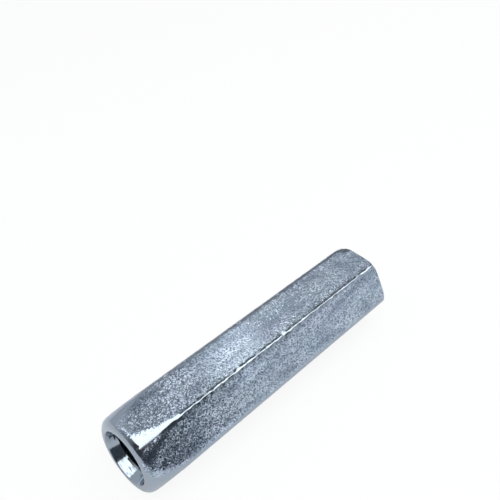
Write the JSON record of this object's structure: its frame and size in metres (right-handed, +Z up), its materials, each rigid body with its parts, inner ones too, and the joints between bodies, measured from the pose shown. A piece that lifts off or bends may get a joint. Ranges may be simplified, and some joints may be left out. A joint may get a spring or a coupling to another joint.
{
  "type": "coupling nut",
  "caption": "Long hexagonal coupling nut with a threaded through bore, a plain recessed mouth at each end and one well-rounded end, for joining threaded rods in line.",
  "frame": {"origin": "on the floor under the middle of the nut, which lies on one of its flats", "axes": "+X along the bore towards the plain end, +Z up from the flat it lies on, +Y across the corners"},
  "size_m": [0.05, 0.0136, 0.0118],
  "materials": {
    "zinc_plated_steel": "blue-white zinc plating over a fine-grained steel bar"
  },
  "bodies": {
    "root": {"coupling_nut": "zinc_plated_steel"}
  },
  "joints": []
}
